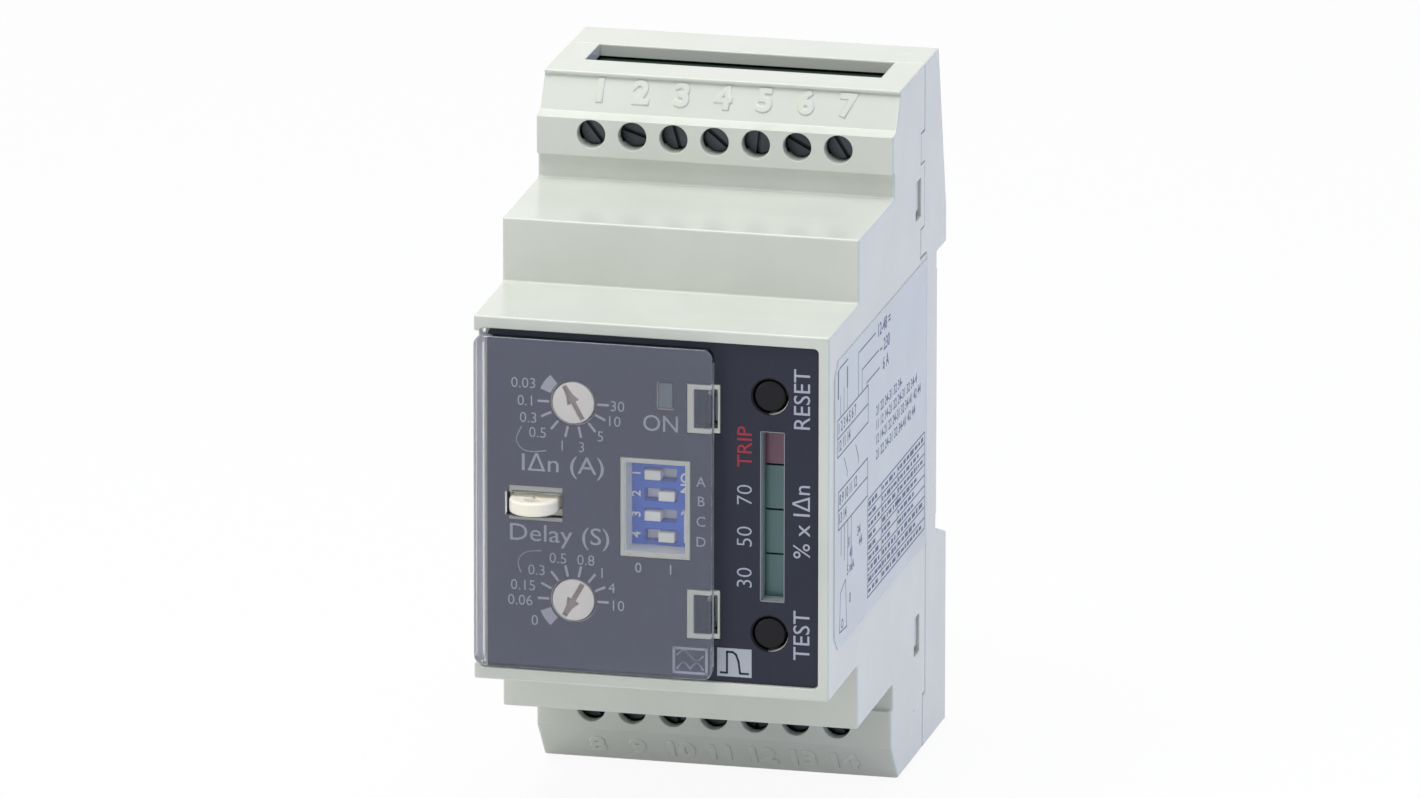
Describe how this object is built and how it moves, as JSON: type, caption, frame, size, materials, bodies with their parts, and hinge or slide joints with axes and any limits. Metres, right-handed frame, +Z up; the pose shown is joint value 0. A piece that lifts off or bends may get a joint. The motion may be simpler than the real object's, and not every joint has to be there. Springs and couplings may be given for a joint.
{
  "type": "residual current relay",
  "caption": "Earth-leakage relay for a 35 mm rail: stepped housing with screw terminals above and below, setting dials and switches behind a hinged clear cover.",
  "frame": {"origin": "middle of the rear face that seats on the mounting rail", "axes": "+X to the right across the front, +Y back towards the rail, +Z up"},
  "size_m": [0.0441, 0.0678, 0.086],
  "materials": {
    "housing": "satin",
    "front_plate": "matt",
    "label_paper": "matt",
    "clear_cover": "clear",
    "ivory_plastic": "satin",
    "dial_plastic": "satin",
    "black_plastic": "satin",
    "blue_plastic": "satin",
    "relay_case": "satin",
    "white_plastic": "satin",
    "green_lens": "clear",
    "red_lens": "clear",
    "board": "satin",
    "transformer_core": "satin",
    "terminal_plastic": "satin",
    "steel": "satin",
    "cage_metal": "satin"
  },
  "bodies": {
    "housing": {"current_selector_body": "black_plastic", "delay_selector_body": "black_plastic", "front_board": "board", "front_housing": "housing", "front_plate": "front_plate", "latch_spring": "steel", "level_30_lamp": "green_lens", "level_50_lamp": "green_lens", "level_70_lamp": "green_lens", "lower_terminal_block": "terminal_plastic", "main_board": "board", "on_lamp": "green_lens", "output_relay": "relay_case", "rear_housing": "housing", "reset_switch_body": "black_plastic", "seal_lug": "ivory_plastic", "setting_switch_body": "blue_plastic", "side_label": "label_paper", "test_switch_body": "black_plastic", "transformer": "transformer_core", "trip_lamp": "red_lens", "upper_terminal_block": "terminal_plastic"},
    "cover": {"clear_cover": "clear_cover"},
    "current_dial": {"current_dial": "dial_plastic"},
    "delay_dial": {"delay_dial": "dial_plastic"},
    "reset_button": {"reset_button": "black_plastic"},
    "test_button": {"test_button": "black_plastic"},
    "rail_latch": {"rail_latch": "black_plastic"},
    "slider_a": {"setting_slider_a": "white_plastic"},
    "slider_b": {"setting_slider_b": "white_plastic"},
    "slider_c": {"setting_slider_c": "white_plastic"},
    "slider_d": {"setting_slider_d": "white_plastic"},
    "screw_01": {"terminal_screw_01": "steel"},
    "cage_01": {"clamp_cage_01": "cage_metal"},
    "screw_02": {"terminal_screw_02": "steel"},
    "cage_02": {"clamp_cage_02": "cage_metal"},
    "screw_03": {"terminal_screw_03": "steel"},
    "cage_03": {"clamp_cage_03": "cage_metal"},
    "screw_04": {"terminal_screw_04": "steel"},
    "cage_04": {"clamp_cage_04": "cage_metal"},
    "screw_05": {"terminal_screw_05": "steel"},
    "cage_05": {"clamp_cage_05": "cage_metal"},
    "screw_06": {"terminal_screw_06": "steel"},
    "cage_06": {"clamp_cage_06": "cage_metal"},
    "screw_07": {"terminal_screw_07": "steel"},
    "cage_07": {"clamp_cage_07": "cage_metal"},
    "screw_08": {"terminal_screw_08": "steel"},
    "cage_08": {"clamp_cage_08": "cage_metal"},
    "screw_09": {"terminal_screw_09": "steel"},
    "cage_09": {"clamp_cage_09": "cage_metal"},
    "screw_10": {"terminal_screw_10": "steel"},
    "cage_10": {"clamp_cage_10": "cage_metal"},
    "screw_11": {"terminal_screw_11": "steel"},
    "cage_11": {"clamp_cage_11": "cage_metal"},
    "screw_12": {"terminal_screw_12": "steel"},
    "cage_12": {"clamp_cage_12": "cage_metal"},
    "screw_13": {"terminal_screw_13": "steel"},
    "cage_13": {"clamp_cage_13": "cage_metal"},
    "screw_14": {"terminal_screw_14": "steel"},
    "cage_14": {"clamp_cage_14": "cage_metal"}
  },
  "joints": [
    {"name": "cover_hinge", "type": "hinge", "parent": "housing", "child": "cover", "pos_m": [-0.02055, -0.057, 0], "axis": [0, 0, -1], "range_deg": [0, 120]},
    {"name": "current_dial_turn", "type": "hinge", "parent": "housing", "child": "current_dial", "pos_m": [-0.00921, -0.0575, 0.01244], "axis": [0, -1, 0], "range_deg": [0, 241]},
    {"name": "delay_dial_turn", "type": "hinge", "parent": "housing", "child": "delay_dial", "pos_m": [-0.00921, -0.0575, -0.01196], "axis": [0, 1, 0], "range_deg": [0, 241]},
    {"name": "slider_a_slide", "type": "slide", "parent": "housing", "child": "slider_a", "axis": [1, 0, 0], "range_m": [0, 0.0017]},
    {"name": "slider_b_slide", "type": "slide", "parent": "housing", "child": "slider_b", "axis": [-1, 0, 0], "range_m": [0, 0.0017]},
    {"name": "slider_c_slide", "type": "slide", "parent": "housing", "child": "slider_c", "axis": [1, 0, 0], "range_m": [0, 0.0017]},
    {"name": "slider_d_slide", "type": "slide", "parent": "housing", "child": "slider_d", "axis": [-1, 0, 0], "range_m": [0, 0.0017]},
    {"name": "reset_press", "type": "slide", "parent": "housing", "child": "reset_button", "axis": [0, 1, 0], "range_m": [0, 0.0004], "stiffness_N_per_m": 1500, "springref_m": -0.0002},
    {"name": "test_press", "type": "slide", "parent": "housing", "child": "test_button", "axis": [0, 1, 0], "range_m": [0, 0.0004], "stiffness_N_per_m": 1500, "springref_m": -0.0002},
    {"name": "rail_latch_slide", "type": "slide", "parent": "housing", "child": "rail_latch", "axis": [0, 0, -1], "range_m": [0, 0.0036], "stiffness_N_per_m": 1200, "springref_m": -0.001, "deforming": ["latch_spring"]},
    {"name": "screw_01_turn", "type": "hinge", "parent": "housing", "child": "screw_01", "pos_m": [-0.01524, -0.0223, 0.0363], "axis": [0, 1, 0], "range_deg": [0, 1800]},
    {"name": "cage_01_rise", "type": "slide", "parent": "housing", "child": "cage_01", "axis": [0, -1, 0], "range_m": [0, 0.00225]},
    {"name": "screw_02_turn", "type": "hinge", "parent": "housing", "child": "screw_02", "pos_m": [-0.01016, -0.0223, 0.0363], "axis": [0, 1, 0], "range_deg": [0, 1800]},
    {"name": "cage_02_rise", "type": "slide", "parent": "housing", "child": "cage_02", "axis": [0, -1, 0], "range_m": [0, 0.00225]},
    {"name": "screw_03_turn", "type": "hinge", "parent": "housing", "child": "screw_03", "pos_m": [-0.00508, -0.0223, 0.0363], "axis": [0, 1, 0], "range_deg": [0, 1800]},
    {"name": "cage_03_rise", "type": "slide", "parent": "housing", "child": "cage_03", "axis": [0, -1, 0], "range_m": [0, 0.00225]},
    {"name": "screw_04_turn", "type": "hinge", "parent": "housing", "child": "screw_04", "pos_m": [0, -0.0223, 0.0363], "axis": [0, 1, 0], "range_deg": [0, 1800]},
    {"name": "cage_04_rise", "type": "slide", "parent": "housing", "child": "cage_04", "axis": [0, -1, 0], "range_m": [0, 0.00225]},
    {"name": "screw_05_turn", "type": "hinge", "parent": "housing", "child": "screw_05", "pos_m": [0.00508, -0.0223, 0.0363], "axis": [0, 1, 0], "range_deg": [0, 1800]},
    {"name": "cage_05_rise", "type": "slide", "parent": "housing", "child": "cage_05", "axis": [0, -1, 0], "range_m": [0, 0.00225]},
    {"name": "screw_06_turn", "type": "hinge", "parent": "housing", "child": "screw_06", "pos_m": [0.01016, -0.0223, 0.0363], "axis": [0, 1, 0], "range_deg": [0, 1800]},
    {"name": "cage_06_rise", "type": "slide", "parent": "housing", "child": "cage_06", "axis": [0, -1, 0], "range_m": [0, 0.00225]},
    {"name": "screw_07_turn", "type": "hinge", "parent": "housing", "child": "screw_07", "pos_m": [0.01524, -0.0223, 0.0363], "axis": [0, 1, 0], "range_deg": [0, 1800]},
    {"name": "cage_07_rise", "type": "slide", "parent": "housing", "child": "cage_07", "axis": [0, -1, 0], "range_m": [0, 0.00225]},
    {"name": "screw_08_turn", "type": "hinge", "parent": "housing", "child": "screw_08", "pos_m": [-0.01524, -0.0223, -0.03555], "axis": [0, 1, 0], "range_deg": [0, 1800]},
    {"name": "cage_08_rise", "type": "slide", "parent": "housing", "child": "cage_08", "axis": [0, -1, 0], "range_m": [0, 0.00225]},
    {"name": "screw_09_turn", "type": "hinge", "parent": "housing", "child": "screw_09", "pos_m": [-0.01016, -0.0223, -0.03555], "axis": [0, 1, 0], "range_deg": [0, 1800]},
    {"name": "cage_09_rise", "type": "slide", "parent": "housing", "child": "cage_09", "axis": [0, -1, 0], "range_m": [0, 0.00225]},
    {"name": "screw_10_turn", "type": "hinge", "parent": "housing", "child": "screw_10", "pos_m": [-0.00508, -0.0223, -0.03555], "axis": [0, 1, 0], "range_deg": [0, 1800]},
    {"name": "cage_10_rise", "type": "slide", "parent": "housing", "child": "cage_10", "axis": [0, -1, 0], "range_m": [0, 0.00225]},
    {"name": "screw_11_turn", "type": "hinge", "parent": "housing", "child": "screw_11", "pos_m": [0, -0.0223, -0.03555], "axis": [0, 1, 0], "range_deg": [0, 1800]},
    {"name": "cage_11_rise", "type": "slide", "parent": "housing", "child": "cage_11", "axis": [0, -1, 0], "range_m": [0, 0.00225]},
    {"name": "screw_12_turn", "type": "hinge", "parent": "housing", "child": "screw_12", "pos_m": [0.00508, -0.0223, -0.03555], "axis": [0, 1, 0], "range_deg": [0, 1800]},
    {"name": "cage_12_rise", "type": "slide", "parent": "housing", "child": "cage_12", "axis": [0, -1, 0], "range_m": [0, 0.00225]},
    {"name": "screw_13_turn", "type": "hinge", "parent": "housing", "child": "screw_13", "pos_m": [0.01016, -0.0223, -0.03555], "axis": [0, 1, 0], "range_deg": [0, 1800]},
    {"name": "cage_13_rise", "type": "slide", "parent": "housing", "child": "cage_13", "axis": [0, -1, 0], "range_m": [0, 0.00225]},
    {"name": "screw_14_turn", "type": "hinge", "parent": "housing", "child": "screw_14", "pos_m": [0.01524, -0.0223, -0.03555], "axis": [0, 1, 0], "range_deg": [0, 1800]},
    {"name": "cage_14_rise", "type": "slide", "parent": "housing", "child": "cage_14", "axis": [0, -1, 0], "range_m": [0, 0.00225]}
  ],
  "couplings": [
    {"joint": "screw_01_turn", "follows": "cage_01_rise", "rad_per_m": 13963},
    {"joint": "screw_02_turn", "follows": "cage_02_rise", "rad_per_m": 13963},
    {"joint": "screw_03_turn", "follows": "cage_03_rise", "rad_per_m": 13963},
    {"joint": "screw_04_turn", "follows": "cage_04_rise", "rad_per_m": 13963},
    {"joint": "screw_05_turn", "follows": "cage_05_rise", "rad_per_m": 13963},
    {"joint": "screw_06_turn", "follows": "cage_06_rise", "rad_per_m": 13963},
    {"joint": "screw_07_turn", "follows": "cage_07_rise", "rad_per_m": 13963},
    {"joint": "screw_08_turn", "follows": "cage_08_rise", "rad_per_m": 13963},
    {"joint": "screw_09_turn", "follows": "cage_09_rise", "rad_per_m": 13963},
    {"joint": "screw_10_turn", "follows": "cage_10_rise", "rad_per_m": 13963},
    {"joint": "screw_11_turn", "follows": "cage_11_rise", "rad_per_m": 13963},
    {"joint": "screw_12_turn", "follows": "cage_12_rise", "rad_per_m": 13963},
    {"joint": "screw_13_turn", "follows": "cage_13_rise", "rad_per_m": 13963},
    {"joint": "screw_14_turn", "follows": "cage_14_rise", "rad_per_m": 13963}
  ]
}
